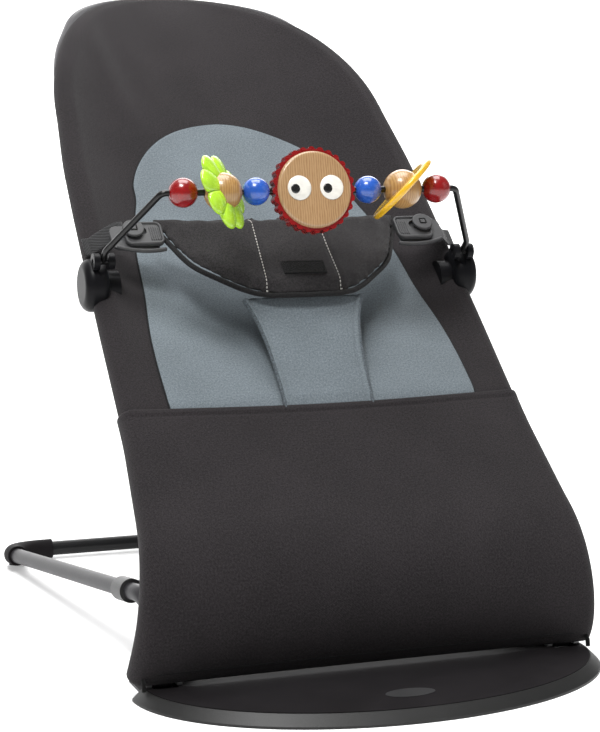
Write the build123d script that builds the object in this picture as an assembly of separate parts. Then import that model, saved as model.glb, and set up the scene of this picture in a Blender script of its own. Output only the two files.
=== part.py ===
from build123d import *
import os
from math import cos, radians, sin, tan

# Folding baby bouncer seat with a detachable toy bar.
# Millimetres. Origin: centre of the front plate's underside, on the floor.
# X runs to the right of someone facing the seat, -Y is the front, +Z is up.

# front plate: a half ellipse with a bevelled rubber rim
PLATE_HALF_WIDTH = 195
PLATE_DEPTH = 126
PLATE_REAR_Y = 60
PLATE_TOP_Z = 10
RIM_BEVEL = 9
SOLE_THICKNESS = 2.4
TONGUE_HALF_WIDTH = 184
TONGUE_REAR_Y = 110

# rear frame: two side rails, a crossbar and two corner feet
RAIL_RADIUS = 7
TUBE_WALL = 1.2
CORNER = (192, 548, 10.2)
CREST = (164.5, 128, 64)
SOCKET = (152, 94, 20)
CORNER_BEND = 36
FOOT_RADIUS = 9.5
FOOT_REACH = 47

# seat frame, drawn in the side plane through the hinge
SEAT_ANGLE = 42
SEAT_TUBE_RADIUS = 8
HINGE_Y = 66.65
HINGE_Z = 15.5
HINGE_X = 170
CURVE_RADIUS = 81
CURVE_CENTRE = (133, 62)
CURVE_START = -35
WAIST_S = 100
WAIST_X = 165
SHOULDER_S = 480
SHOULDER_X = 150
HEAD_ANGLE = 27
HEAD_LENGTH = 231
HEM_S = 112

# support bow, whose top bar lies in the notched plates under the seat
BOW_PIVOT_Y = 175
BOW_ARM_X = 136
BOW_ROD_RADIUS = 3.5
BOW_PIN_RADIUS = 2.5
BOW_BUSH_RADIUS = 4.5
NOTCH_DEPTH = 50
NOTCHES = (180, 190.4, 197.2)
NOTCH_PLATE_X = (147, 152.2)

# toy bar
CLIP_S = 259
CLIP_RADIUS = 22.5
GRIP_RADIUS = 14
PIVOT_S = 261
PIVOT_N = 31
BAR_S = 256
BAR_N = 115
BAR_BEND_X = 130
BAR_RADIUS = 2.7
FLOWER_FACING = (0.705, -0.586, 0.399)
DISC_FACING = (-0.68, 0.25, 0.68)
FACE_TILT = 12
FACE_RADIUS = 32.3
RIM_RADIUS = 36.3

# restraint panel and its buckles
BIB_TOP_S = 296
BIB_LOW_S = 206
BIB_THICKNESS = 9
BIB_HALF_WIDTH = 105.5
KNOB_X = 133
KNOB_S = 291
BUCKLE_N = 34
POST_RADIUS = 3.5
KEYHOLE_TRAVEL = 7

# fits
RUNNING_FIT = 0.05
GAP = 0.4

SIDES = (("left", -1), ("right", 1))
COS_SEAT = cos(radians(SEAT_ANGLE))
SIN_SEAT = sin(radians(SEAT_ANGLE))
TANGENT_Y = CURVE_CENTRE[0] - CURVE_RADIUS * SIN_SEAT
TANGENT_Z = CURVE_CENTRE[1] + CURVE_RADIUS * COS_SEAT


def seat_point(x, s, n):
    """x across, s up along the seat from the front curve, n out of the seat's face."""
    y = TANGENT_Y + s * COS_SEAT - n * SIN_SEAT
    z = TANGENT_Z + s * SIN_SEAT + n * COS_SEAT
    return (x, y, z)


def head_point(x, t, n):
    """x across, t up along the head from the shoulder, n out of the head's face."""
    c, s = cos(radians(HEAD_ANGLE)), sin(radians(HEAD_ANGLE))
    _, y, z = seat_point(0, SHOULDER_S, 0)
    return (x, y + t * c - n * s, z + t * s + n * c)


def seat_plane(x, s, n, side=1):
    """A plane lying in the seat's face, its X to the right and its normal out of the face."""
    return Plane(origin=seat_point(x * side, s, n), x_dir=(1, 0, 0), z_dir=(0, -SIN_SEAT, COS_SEAT))


def across(x, y, z):
    """A plane whose normal runs along +X, at a point."""
    return Plane(origin=(x, y, z), x_dir=(0, 1, 0), z_dir=(1, 0, 0))


def cylinder_x(x0, x1, y, z, radius):
    """A cylinder along X between two stations."""
    low, high = min(x0, x1), max(x0, x1)
    return extrude(across(low, y, z) * Circle(radius), high - low)


def ring_x(x0, x1, y, z, outer, inner):
    """A ring along X between two stations."""
    return cylinder_x(x0, x1, y, z, outer) - cylinder_x(x0, x1, y, z, inner)


def solid_rod(points, radii, radius):
    """A round bar along a path of straight runs joined by arcs."""
    path = FilletPolyline(*points, radius=radii)
    return sweep(Plane(path @ 0, z_dir=path % 0) * Circle(radius), path=path)


def tube(points, radii, radius, wall=TUBE_WALL):
    """A hollow tube along a path of straight runs joined by arcs."""
    return solid_rod(points, radii, radius) - solid_rod(points, radii, radius - wall)


def straight_rod(start, end, radius):
    """A round bar between two points."""
    run = Vector(*end) - Vector(*start)
    return extrude(Plane(start, z_dir=run) * Circle(radius), run.length)


def straight_tube(start, end, radius, wall=TUBE_WALL):
    """A hollow straight tube between two points."""
    return straight_rod(start, end, radius) - straight_rod(start, end, radius - wall)


def between(a, b, t):
    """The point a fraction t of the way from a to b."""
    return tuple(p + (q - p) * t for p, q in zip(a, b))


def mirrored(point, side):
    """The point on the given side of the middle plane."""
    return (point[0] * side, point[1], point[2])


def tube_x(s):
    """How far from the middle the seat tube's centreline is, s up along the seat."""
    if s <= WAIST_S:
        return WAIST_X
    return WAIST_X + (SHOULDER_X - WAIST_X) * (s - WAIST_S) / (SHOULDER_S - WAIST_S)


# ------------------------------------------------------------------ front plate

def half_ellipse(half_width, depth, rear=PLATE_REAR_Y):
    """The front half of an ellipse, closed along its straight rear edge."""
    whole = Pos(0, rear) * Ellipse(half_width, depth)
    return whole & (Pos(0, rear - depth) * Rectangle(2 * half_width + 2, 2 * depth))


def make_plate():
    moon = half_ellipse(PLATE_HALF_WIDTH - RIM_BEVEL, PLATE_DEPTH - RIM_BEVEL)
    tongue_depth = TONGUE_REAR_Y - PLATE_REAR_Y
    tongue = Pos(0, PLATE_REAR_Y + tongue_depth / 2) * Rectangle(2 * TONGUE_HALF_WIDTH, tongue_depth)
    body = extrude(Pos(0, 0, SOLE_THICKNESS) * (moon + tongue), PLATE_TOP_Z - SOLE_THICKNESS)
    floor_z = HINGE_Z - EYE_RADIUS - 1
    for _, side in SIDES:
        body -= Pos(HINGE_X * side, HINGE_Y - 1, floor_z + 10) * Box(2 * BRACKET_HALF - 2 * EAR, 28, 20)
    return body - make_badge()


def make_rim():
    outline = half_ellipse(PLATE_HALF_WIDTH, PLATE_DEPTH)
    inner = half_ellipse(PLATE_HALF_WIDTH - RIM_BEVEL, PLATE_DEPTH - RIM_BEVEL)
    top = half_ellipse(PLATE_HALF_WIDTH - RIM_BEVEL + 1, PLATE_DEPTH - RIM_BEVEL + 1)
    lip = 2
    skirt = extrude(outline, lip)
    slope = loft([Pos(0, 0, lip) * outline, Pos(0, 0, PLATE_TOP_Z - 0.5) * top])
    return (skirt + slope) - extrude(inner, PLATE_TOP_Z)


def make_sole():
    moon = half_ellipse(PLATE_HALF_WIDTH - RIM_BEVEL, PLATE_DEPTH - RIM_BEVEL)
    tongue_depth = TONGUE_REAR_Y - PLATE_REAR_Y
    tongue = Pos(0, PLATE_REAR_Y + tongue_depth / 2) * Rectangle(2 * TONGUE_HALF_WIDTH, tongue_depth)
    return extrude(moon + tongue, SOLE_THICKNESS)


def make_badge():
    """A blank oval badge let into the plate's top."""
    badge_y, depth, proud = -22, 0.8, 0.4
    return extrude(Pos(0, badge_y, PLATE_TOP_Z - depth) * Ellipse(20, 10), depth + proud)


# ------------------------------------------------------------------- rear frame

def rail_point(y, side):
    """The rail's centreline at a station along Y."""
    t = (y - CREST[1]) / (CORNER[1] - CREST[1])
    return mirrored(between(CREST, CORNER, t), side)


def rail_end(side):
    """Where the rail stops inside its corner foot."""
    return rail_point(CORNER[1] - CORNER_BEND - 2, side)


def make_rail(side):
    points = [rail_end(side), mirrored(CREST, side), mirrored(SOCKET, side)]
    return tube(points, [38], RAIL_RADIUS)


FLANGE = 2.5


def make_socket(side):
    """A block on the plate that holds the rail's front end, with a flange for two screws."""
    run_in = between(SOCKET, CREST, 0.4)
    base = Pos(SOCKET[0] * side, SOCKET[1], (PLATE_TOP_Z + 30) / 2) * Box(26, 28, 30 - PLATE_TOP_Z)
    base = fillet(base.edges().filter_by(Axis.Z), 5)
    flange_z = PLATE_TOP_Z + FLANGE / 2
    base += Pos((SOCKET[0] - 16) * side, SOCKET[1], flange_z) * Box(32, 28, FLANGE)
    mouth = Vector(*mirrored(SOCKET, side))
    bore = Plane(mouth, z_dir=Vector(*mirrored(run_in, side)) - mouth)
    return base - extrude(bore * Circle(RAIL_RADIUS), 60)


def make_crossbar():
    reach = CORNER[0] - CORNER_BEND - 2
    ends = [(-reach, CORNER[1], CORNER[2]), (reach, CORNER[1], CORNER[2])]
    return straight_tube(*ends, RAIL_RADIUS)


def foot_pad(side):
    """A small rubber pad under the middle of the corner's bend."""
    inset = CORNER_BEND * (1 - 0.5 ** 0.5)
    spot = Pos((CORNER[0] - inset) * side, CORNER[1] - inset, 1.1)
    return spot * Rot(0, 0, 135 * side) * Box(18, 8, 2.2)


def make_foot(side):
    """A plastic elbow over the rail's end and the crossbar's end."""
    points = [
        rail_point(CORNER[1] - FOOT_REACH, side),
        mirrored(CORNER, side),
        ((CORNER[0] - FOOT_REACH) * side, CORNER[1], CORNER[2]),
    ]
    sleeve = tube(points, [CORNER_BEND], FOOT_RADIUS, FOOT_RADIUS - RAIL_RADIUS)
    return sleeve - foot_pad(side)


# -------------------------------------------------------------- seat hinge, at the plate

EAR = 4.5
EYE_HALF = 7
EYE_RADIUS = 9
BUSH_RADIUS = 6
PIN_RADIUS = 3
EAR_RADIUS = 9.5
BRACKET_HALF = 14.5


def make_bracket(side):
    """Two ears on the plate's tongue that hold the hinge pin."""
    parts = []
    for offset in (-BRACKET_HALF + EAR / 2, BRACKET_HALF - EAR / 2):
        x = HINGE_X * side + offset
        disc = cylinder_x(x - EAR / 2, x + EAR / 2, HINGE_Y, HINGE_Z, EAR_RADIUS)
        leg_height = HINGE_Z - PLATE_TOP_Z
        leg = Pos(x, HINGE_Y, PLATE_TOP_Z + leg_height / 2) * Box(EAR, 2 * EAR_RADIUS, leg_height)
        parts.append(disc + leg)
    ears = parts[0] + parts[1]
    above_plate = Pos(HINGE_X * side, HINGE_Y, PLATE_TOP_Z + 25) * Box(60, 60, 50)
    pin_hole = cylinder_x((HINGE_X - 30) * side, (HINGE_X + 30) * side, HINGE_Y, HINGE_Z, PIN_RADIUS)
    return (ears & above_plate) - pin_hole


def make_hinge_pin(side):
    head = 1.5
    shaft = cylinder_x((HINGE_X - 16) * side, (HINGE_X + BRACKET_HALF) * side, HINGE_Y, HINGE_Z, PIN_RADIUS)
    inner = (HINGE_X - BRACKET_HALF) * side
    return shaft + cylinder_x(inner, inner - head * side, HINGE_Y, HINGE_Z, 5)


def make_bush(side):
    reach = BRACKET_HALF - EAR - GAP
    x = HINGE_X * side
    return ring_x(x - reach, x + reach, HINGE_Y, HINGE_Z, BUSH_RADIUS, PIN_RADIUS + RUNNING_FIT)


def make_screws():
    """The round heads of the two screws in each rail socket's flange."""
    screws = []
    for _, side in SIDES:
        for dy in (-8, 8):
            x = (SOCKET[0] - 23) * side
            screws.append(Pos(x, SOCKET[1] + dy, PLATE_TOP_Z + FLANGE + 1) * Cylinder(3.2, 2))
    return Compound(screws)


def make_corner_loops():
    """A short elastic loop from each end of the plate to the fabric's bottom corner."""
    loops = []
    for _, side in SIDES:
        x = 188.5 * side
        loops.append(solid_rod([(x, 49, PLATE_TOP_Z - 0.5), (x, 50, 15), (x, 55, 20)], [3], 1.8))
    return Compound(loops)


# ------------------------------------------------------------------- seat frame

def make_seat_tube(side):
    """The front curve and the straight side of the seat, with the hinge eye at its foot."""
    start_angle = radians(CURVE_START)
    turn = radians(90 - SEAT_ANGLE - CURVE_START)
    run = CURVE_RADIUS * tan(turn / 2)
    corner_y = HINGE_Y + run * sin(start_angle)
    corner_z = HINGE_Z + run * cos(start_angle)
    waist = seat_point(WAIST_X * side, WAIST_S, 0)
    points = [
        (HINGE_X * side, HINGE_Y, HINGE_Z),
        ((HINGE_X + 10) * side, corner_y, corner_z),
        waist,
        between(waist, seat_point(SHOULDER_X * side, SHOULDER_S, 0), 0.86),
    ]
    bent = tube(points, [CURVE_RADIUS - 6, 300], SEAT_TUBE_RADIUS)
    eye = cylinder_x((HINGE_X - EYE_HALF) * side, (HINGE_X + EYE_HALF) * side, HINGE_Y, HINGE_Z, EYE_RADIUS)
    bore = BUSH_RADIUS + RUNNING_FIT
    hole = cylinder_x((HINGE_X - 20) * side, (HINGE_X + 20) * side, HINGE_Y, HINGE_Z, bore)
    return (bent + eye) - hole


def make_head_hoop():
    """The bent top of the frame, which plugs onto the side tubes and curves slowly back."""
    low, shoulder = seat_point(WAIST_X, WAIST_S, 0), seat_point(SHOULDER_X, SHOULDER_S, 0)
    right = [
        between(low, shoulder, 0.861),
        head_point(SHOULDER_X, 0, 0),
        head_point(138, 84, 12),
        head_point(102, 176, 11),
        head_point(50, HEAD_LENGTH, 0),
    ]
    left = [mirrored(point, -1) for point in reversed(right)]
    radii = [150, 260, 130, 105]
    return tube(right + left, radii + radii[::-1], SEAT_TUBE_RADIUS)


def make_spigots():
    """The plugs inside the tubes where the hoop joins the sides."""
    plugs = []
    for _, side in SIDES:
        low = seat_point(WAIST_X * side, WAIST_S, 0)
        high = seat_point(SHOULDER_X * side, SHOULDER_S, 0)
        start, end = between(low, high, 0.82), between(low, high, 0.9)
        plugs.append(straight_tube(start, end, SEAT_TUBE_RADIUS - TUBE_WALL - 0.05))
    return Compound(plugs)


def make_notch_plate(side):
    """A steel plate under the seat tube with a notched slot for the bow's bar."""
    saddle_s = NOTCHES[1]
    x0, x1 = NOTCH_PLATE_X
    shoulder = Vector(*seat_point(SHOULDER_X * side, SHOULDER_S, 0))
    slope = shoulder - Vector(*seat_point(WAIST_X * side, WAIST_S, 0))
    start = Vector(*seat_point(tube_x(saddle_s - 18) * side, saddle_s - 18, 0))
    collar = Plane(start, z_dir=slope)
    saddle = extrude(collar * Circle(SEAT_TUBE_RADIUS + 1.1), 36)
    bore = SEAT_TUBE_RADIUS + RUNNING_FIT
    hole = extrude(collar.offset(-5) * Circle(bore), 50)
    profile = Plane(origin=seat_point(x0 * side, 0, 0), x_dir=(0, COS_SEAT, SIN_SEAT), z_dir=(1, 0, 0))
    outline = Pos(NOTCHES[1] - 1, -34) * RectangleRounded(50, 58, 7)
    slot = Pos((NOTCHES[0] + NOTCHES[2]) / 2 + 0.6, -NOTCH_DEPTH + 0.3) * SlotOverall(34, 9)
    for s in NOTCHES:
        slot += Pos(s, -NOTCH_DEPTH + 1.4) * Circle(3.9)
    plate = extrude(profile * (outline - slot), (x1 - x0) * side)
    return (plate + saddle) - hole


# ----------------------------------------------------------------- support bow

def bow_pivot(side=1):
    return rail_point(BOW_PIVOT_Y, side)


def bar_point(x):
    return seat_point(x, NOTCHES[0], -NOTCH_DEPTH)


def make_bow_clip(side):
    """A plastic clip round the rail with the bow's pivot pin."""
    x, y, z = bow_pivot(side)
    direction = Vector(*rail_point(BOW_PIVOT_Y + 12, side)) - Vector(*rail_point(BOW_PIVOT_Y - 12, side))
    collar = Plane(rail_point(BOW_PIVOT_Y - 12, side), z_dir=direction)
    sleeve = extrude(collar * Circle(RAIL_RADIUS + 3), 24)
    boss = cylinder_x((abs(x) - 4) * side, (BOW_ARM_X + 6) * side, y, z, 7)
    pin = cylinder_x((abs(x) - 4) * side, (BOW_ARM_X - 6) * side, y, z, BOW_PIN_RADIUS)
    hole = extrude(collar.offset(-5) * Circle(RAIL_RADIUS), 40)
    return (sleeve + boss + pin) - hole


def make_bow_bush(side):
    _, y, z = bow_pivot(side)
    x = BOW_ARM_X * side
    return ring_x(x - 5, x + 5, y, z, BOW_BUSH_RADIUS, BOW_PIN_RADIUS + RUNNING_FIT)


def make_bow_arm(side):
    _, y, z = bow_pivot(side)
    x = BOW_ARM_X * side
    _, by, bz = bar_point(0)
    eye = cylinder_x(x - 4, x + 4, y, z, 8)
    shaft = straight_rod((x, y, z), (x, by, bz), BOW_ROD_RADIUS)
    hub = cylinder_x(x - 4, x + 4, by, bz, 7)
    holes = cylinder_x(x - 8, x + 8, y, z, BOW_BUSH_RADIUS + RUNNING_FIT)
    holes += cylinder_x(x - 8, x + 8, by, bz, BOW_ROD_RADIUS)
    return (eye + shaft + hub) - holes


def make_bow_bar():
    _, y, z = bar_point(0)
    reach = NOTCH_PLATE_X[1] + 4
    return cylinder_x(-reach, reach, y, z, BOW_ROD_RADIUS)


# ------------------------------------------------------------------- soft goods

def make_front_panel():
    """The fabric that wraps the front curve, from the hem down to the plate."""
    outer, inner, half_width = CURVE_RADIUS + 7, CURVE_RADIUS + 3, 154
    lower = -25
    upper = 90 - SEAT_ANGLE
    centre = Plane(origin=(-half_width, *CURVE_CENTRE), x_dir=(0, -1, 0), z_dir=(-1, 0, 0))

    def ring_point(radius, angle):
        a = radians(angle)
        return (radius * cos(a), radius * sin(a))

    middle = (lower + upper) / 2
    tip = seat_point(0, HEM_S, outer - CURVE_RADIUS)
    root = seat_point(0, HEM_S, inner - CURVE_RADIUS)
    tip_2d = (CURVE_CENTRE[0] - tip[1], tip[2] - CURVE_CENTRE[1])
    root_2d = (CURVE_CENTRE[0] - root[1], root[2] - CURVE_CENTRE[1])
    outline = [
        ThreePointArc(ring_point(outer, lower), ring_point(outer, middle), ring_point(outer, upper)),
        Line(ring_point(outer, upper), tip_2d),
        Line(tip_2d, root_2d),
        Line(root_2d, ring_point(inner, upper)),
        ThreePointArc(ring_point(inner, upper), ring_point(inner, middle), ring_point(inner, lower)),
        Line(ring_point(inner, lower), ring_point(outer, lower)),
    ]
    return extrude(centre * make_face(outline), -2 * half_width)


def sling_section(s, half_width, sag, thickness):
    """A sagging slice across the seat, square to its slope."""
    plane = Plane(origin=seat_point(0, s, 0), x_dir=(1, 0, 0), z_dir=(0, COS_SEAT, SIN_SEAT))
    # this plane's own Y points down behind the seat, so n is negated
    up = -1 if plane.y_dir.Z < 0 else 1
    top = ThreePointArc((-half_width, 0), (0, -sag * up), (half_width, 0))
    right, left = (half_width, -thickness * up), (-half_width, -thickness * up)
    low = ThreePointArc(right, (0, -(sag + thickness) * up), left)
    sides = [
        Line((half_width, 0), (half_width, -thickness * up)),
        Line((-half_width, -thickness * up), (-half_width, 0)),
    ]
    return plane * make_face([top, sides[0], low, sides[1]])


def make_sling():
    """The fabric seat between the tubes, from the hem to the shoulder."""
    return loft([sling_section(HEM_S + 2, 148, 20, 6), sling_section(SHOULDER_S - 6, 134, 12, 6)], ruled=True)


def make_head_panel():
    """The fabric inside the hoop."""
    half = [(134, 4), (127, 75), (95, 165), (43, HEAD_LENGTH - 19)]
    outline = half + [(-x, t) for x, t in reversed(half)]
    outward = Vector(*head_point(0, 0, 1)) - Vector(*head_point(0, 0, 0))
    plane = Plane(origin=head_point(0, 0, -3), x_dir=(1, 0, 0), z_dir=outward)
    face = make_face(Polyline(*outline, close=True))
    rounded = fillet(face.vertices().filter_by(lambda v: v.Y > 100), 30)
    return extrude(plane * rounded, 6)


def make_bib():
    """The padded restraint panel: bowed across, with a rounded lower edge."""
    half = BIB_HALF_WIDTH
    edge_n, middle_n = 34, 48
    side_plane = Plane(origin=seat_point(0, BIB_LOW_S, 0), x_dir=(1, 0, 0), z_dir=(0, COS_SEAT, SIN_SEAT))
    up = -1 if side_plane.y_dir.Z < 0 else 1
    top = ThreePointArc((-half, edge_n * up), (0, middle_n * up), (half, edge_n * up))
    low_edge = (edge_n - BIB_THICKNESS) * up
    low_middle = (middle_n - BIB_THICKNESS) * up
    low = ThreePointArc((half, low_edge), (0, low_middle), (-half, low_edge))
    ends = [Line((half, edge_n * up), (half, low_edge)), Line((-half, low_edge), (-half, edge_n * up))]
    slab = extrude(side_plane * make_face([top, ends[0], low, ends[1]]), BIB_TOP_S - BIB_LOW_S)
    corner = 50
    outline = [
        (-half, BIB_TOP_S), (half, BIB_TOP_S), (half, BIB_TOP_S - 24),
        (half - corner, BIB_LOW_S), (corner - half, BIB_LOW_S), (-half, BIB_TOP_S - 24),
    ]
    face = make_face(Polyline(*outline, close=True))
    rounded = fillet(face.vertices().filter_by(lambda v: v.Y < BIB_TOP_S - 1), 18)
    return slab & extrude(seat_plane(0, 0, 0) * rounded, 80)


def make_crotch_strap():
    """The strap from the hem up to the restraint panel."""
    wide, narrow, thickness = 50, 38, 5
    low_n, high_n = 9, 31
    along = (0, COS_SEAT, SIN_SEAT)
    low_plane = Plane(origin=seat_point(0, HEM_S + 2, low_n), x_dir=(1, 0, 0), z_dir=along)
    high_plane = Plane(origin=seat_point(0, BIB_LOW_S - 1, high_n), x_dir=(1, 0, 0), z_dir=along)
    sections = [low_plane * Rectangle(2 * narrow, thickness), high_plane * Rectangle(2 * wide, thickness)]
    return loft(sections, ruled=True)


def make_label():
    """A blank woven tag on the restraint panel."""
    return extrude(seat_plane(0, 226, 49) * Rectangle(38, 14), 1)


# --------------------------------------------------- restraint buckles and straps

def make_buckle_base(side):
    """The lower plate on the seat's strap, with the post and its round button."""
    plane = seat_plane(KNOB_X, KNOB_S, BUCKLE_N - 4, side)
    plate = extrude(plane * (Pos(-2 * side, -4) * RectangleRounded(42, 26, 6)), 2.6)
    post = extrude(plane * Circle(POST_RADIUS), 10.5)
    knob = extrude(plane.offset(7.4) * Circle(9.3), 2.8)
    knob = fillet(knob.edges(), 1)
    return plate + post + knob


def make_buckle_tab(side):
    """The upper plate sewn to the restraint panel, with a keyhole round the post."""
    plane = seat_plane(KNOB_X, KNOB_S, BUCKLE_N - 1, side)
    body = plane * (Pos(-9 * side, -3) * RectangleRounded(34, 26, 6))
    hole = plane * Circle(POST_RADIUS + 0.3)
    travel = plane * (Pos(-KEYHOLE_TRAVEL * side / 2, 0) * Rectangle(KEYHOLE_TRAVEL, 2 * POST_RADIUS + 0.6))
    mouth = plane * (Pos(-KEYHOLE_TRAVEL * side, 0) * Circle(POST_RADIUS + 1.6))
    return extrude(body - hole - travel - mouth, 2.8)


def make_web_strap(side):
    """The webbing from the lower plate out to the seat tube."""
    strap_s = KNOB_S + 3
    low = seat_plane(tube_x(strap_s), strap_s, SEAT_TUBE_RADIUS + 1.4, side)
    high = seat_plane(KNOB_X + 17, strap_s, BUCKLE_N - 4, side)
    return loft([low * Rectangle(1.8, 13), high * Rectangle(1.8, 13)], ruled=True)


# --------------------------------------------------------------------- toy bar

def make_toy_clip(side):
    """A C-shaped clip over the seat's side, slotted on top for the bar's leg."""
    _, y, z = seat_point(0, CLIP_S, 4)
    disc = cylinder_x(158 * side, 179 * side, y, z, CLIP_RADIUS)
    disc = fillet(disc.edges(), 8)
    disc += cylinder_x(147 * side, 166 * side, *seat_point(0, CLIP_S, 1)[1:], GRIP_RADIUS)
    pivot = seat_point(164 * side, PIVOT_S, PIVOT_N)
    crown = cylinder_x(155 * side, 173 * side, pivot[1], pivot[2], 7)
    body = disc + crown
    tube_start = Vector(*seat_point(tube_x(CLIP_S - 60) * side, CLIP_S - 60, 0))
    tube_end = Vector(*seat_point(tube_x(CLIP_S + 60) * side, CLIP_S + 60, 0))
    along = Plane(tube_start, x_dir=(1, 0, 0), z_dir=tube_end - tube_start)
    channel = extrude(along * Circle(SEAT_TUBE_RADIUS + 1.2), 120)
    mouth_plane = seat_plane(tube_x(CLIP_S), CLIP_S, -40, side)
    mouth = extrude(mouth_plane * Rectangle(2 * SEAT_TUBE_RADIUS + 1, 80), 40)
    leg_slot = extrude(seat_plane(164, CLIP_S, PIVOT_N - 6.5, side) * Rectangle(7.2, 70), 40)
    bore = cylinder_x(150 * side, 176 * side, pivot[1], pivot[2], BAR_RADIUS + RUNNING_FIT)
    return body - channel - mouth - leg_slot - bore


def make_toy_bar():
    """The bent rod, whose ends turn outwards and inwards in the clips."""
    right = [
        seat_point(164, PIVOT_S, PIVOT_N),
        seat_point(164.5, PIVOT_S - 1, PIVOT_N + 13),
        seat_point(BAR_BEND_X, BAR_S, BAR_N),
    ]
    left = [mirrored(point, -1) for point in reversed(right)]
    rod = solid_rod(right + left, [12, 7, 7, 12], BAR_RADIUS)
    for _, side in SIDES:
        _, y, z = seat_point(0, PIVOT_S, PIVOT_N)
        rod += cylinder_x(156 * side, 172 * side, y, z, BAR_RADIUS)
    return rod


def bead(x, radius):
    """A ball threaded on the bar."""
    _, y, z = seat_point(0, BAR_S, BAR_N)
    bore = BAR_RADIUS + RUNNING_FIT
    half = (radius ** 2 - bore ** 2) ** 0.5
    outline = [ThreePointArc((-half, bore), (0, radius), (half, bore)), Line((half, bore), (-half, bore))]
    profile = make_face(outline)
    return Pos(x, y, z) * revolve(profile, Axis.X)


def tilted_disc(x, radius, thickness, facing, ball_radius):
    """A disc round a ball, leaning away from square to the bar, with its plane and the ball."""
    _, y, z = seat_point(0, BAR_S, BAR_N)
    plane = Plane(origin=(x, y, z), z_dir=facing)
    disc = extrude(plane.offset(-thickness / 2) * Circle(radius), thickness)
    disc = fillet(disc.edges(), thickness * 0.4)
    return disc, plane, Pos(x, y, z) * Sphere(ball_radius)


def make_flower_petals():
    """Eight rounded petals round the ball."""
    disc, plane, ball = tilted_disc(-78, 25, 6, FLOWER_FACING, 16)
    outline = Circle(23)
    for index in range(8):
        outline += Rot(0, 0, 45 * index) * (Pos(25, 0) * Circle(8.6))
    return extrude(plane.offset(-3) * outline, 6) - ball


def make_yellow_disc():
    disc, _, ball = tilted_disc(81, 34, 5, DISC_FACING, 16.4)
    return disc - ball


def face_plane(offset):
    """The toy face's own plane, turned towards the front and a little up."""
    _, y, z = seat_point(0, BAR_S, BAR_N)
    tilt = radians(FACE_TILT)
    plane = Plane(origin=(0, y, z), x_dir=(1, 0, 0), z_dir=(0, -cos(tilt), sin(tilt)))
    return plane.offset(offset)


def bar_bore(reach):
    _, y, z = seat_point(0, BAR_S, BAR_N)
    return cylinder_x(-reach, reach, y, z, BAR_RADIUS + RUNNING_FIT)


def make_face_disc():
    disc = extrude(face_plane(-8) * Circle(FACE_RADIUS), 16)
    disc = fillet(disc.edges(), 3)
    return disc - bar_bore(40) - make_eyes() - make_pupils()


def make_face_rim():
    """The scalloped ring round the wooden face."""
    outline = Circle(RIM_RADIUS - 2)
    scallops = 28
    for index in range(scallops):
        outline += Rot(0, 0, 360 / scallops * index) * (Pos(RIM_RADIUS - 3, 0) * Circle(3))
    ring = extrude(face_plane(-5) * (outline - Circle(FACE_RADIUS)), 10)
    return ring - bar_bore(40)


def make_eyes():
    eyes = [extrude(face_plane(7) * (Pos(x, 1) * Circle(10.4)), 2) for x in (-14, 14.4)]
    pupils = make_pupils()
    return Compound([eye - pupils for eye in eyes])


def make_pupils():
    return Compound([extrude(face_plane(8) * (Pos(x, 0) * Circle(4)), 1.6) for x in (-17.5, 11)])


# ---------------------------------------------------------------------- export

def pair(make):
    """The left and right copies of one piece, as separate solids of one node."""
    return Compound([make(side) for _, side in SIDES])


def build():
    parts = {
        "base_plate": make_plate(),
        "plate_rim": make_rim(),
        "plate_sole": make_sole(),
        "plate_badge": make_badge(),
        "rear_crossbar": make_crossbar(),
        "foot_pads": pair(foot_pad),
        "hinge_pins": pair(make_hinge_pin),
        "hinge_bushes": pair(make_bush),
        "socket_screws": make_screws(),
        "corner_loops": make_corner_loops(),
        "head_hoop": make_head_hoop(),
        "tube_spigots": make_spigots(),
        "bow_bushes": pair(make_bow_bush),
        "bow_bar": make_bow_bar(),
        "front_panel": make_front_panel(),
        "seat_sling": make_sling(),
        "head_panel": make_head_panel(),
        "restraint_bib": make_bib(),
        "crotch_strap": make_crotch_strap(),
        "blank_label": make_label(),
        "toy_bar_rod": make_toy_bar(),
        "red_bead_left": bead(-112, 12.2),
        "flower_ball": bead(-78, 16),
        "flower_petals": make_flower_petals(),
        "blue_bead_left": bead(-49.5, 11.5),
        "face_disc": make_face_disc(),
        "face_rim": make_face_rim(),
        "face_eyes": make_eyes(),
        "face_pupils": make_pupils(),
        "blue_bead_right": bead(49.5, 11.5),
        "disc_ball": bead(81, 16.4),
        "yellow_disc": make_yellow_disc(),
        "red_bead_right": bead(112, 12.2),
    }
    sided = {
        "rail_socket": make_socket,
        "side_rail": make_rail,
        "corner_foot": make_foot,
        "hinge_bracket": make_bracket,
        "seat_tube": make_seat_tube,
        "notch_plate": make_notch_plate,
        "bow_clip": make_bow_clip,
        "bow_arm": make_bow_arm,
        "buckle_base": make_buckle_base,
        "buckle_tab": make_buckle_tab,
        "web_strap": make_web_strap,
        "toy_clip": make_toy_clip,
    }
    for name, make in sided.items():
        for word, side in SIDES:
            parts[f"{name}_{word}"] = make(side)
    return parts


os.makedirs("parts", exist_ok=True)
for node, shape in build().items():
    export_step(shape, f"parts/{node}.step")
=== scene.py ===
import math
import bmesh
import bpy
import numpy as np
from mathutils import Matrix, Vector
from mathutils.bvhtree import BVHTree


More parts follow.
